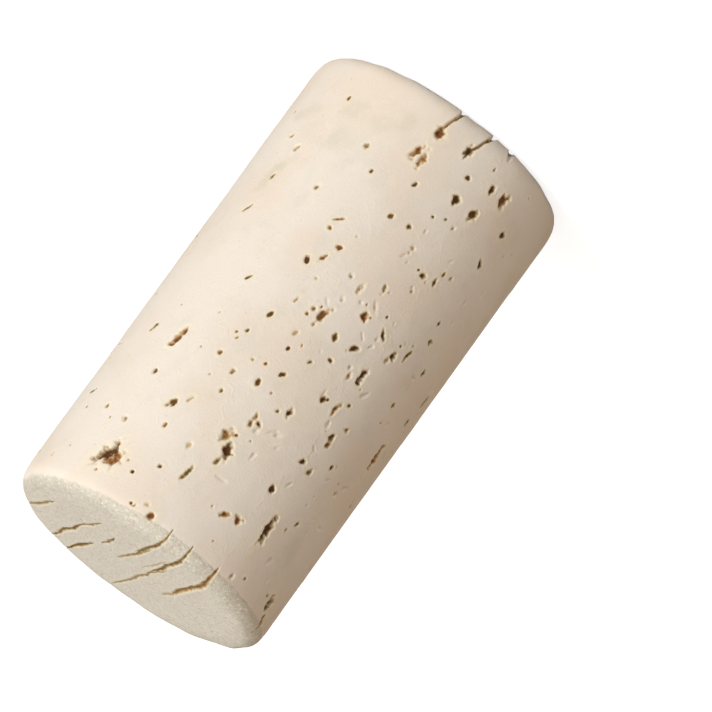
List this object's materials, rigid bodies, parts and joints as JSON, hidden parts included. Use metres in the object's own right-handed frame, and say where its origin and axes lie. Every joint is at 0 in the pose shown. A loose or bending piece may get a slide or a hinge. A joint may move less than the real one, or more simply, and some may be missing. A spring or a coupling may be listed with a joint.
{
  "type": "cork stopper",
  "caption": "Straight natural cork plug with rounded rims, open pits on the barrel and bark cracks across its ends, pressed into a bottle neck to close it.",
  "frame": {"origin": "centre of the bottom end, the one with notches in its rim, on the surface it stands on", "axes": "+Z along the plug's axis, -Y towards the side where the bark's channels open as pits"},
  "size_m": [0.024, 0.024, 0.045],
  "materials": {
    "cork": "bare sanded natural cork, matt, pale cream with brown pits"
  },
  "bodies": {
    "root": {"stopper": "cork"}
  },
  "joints": []
}
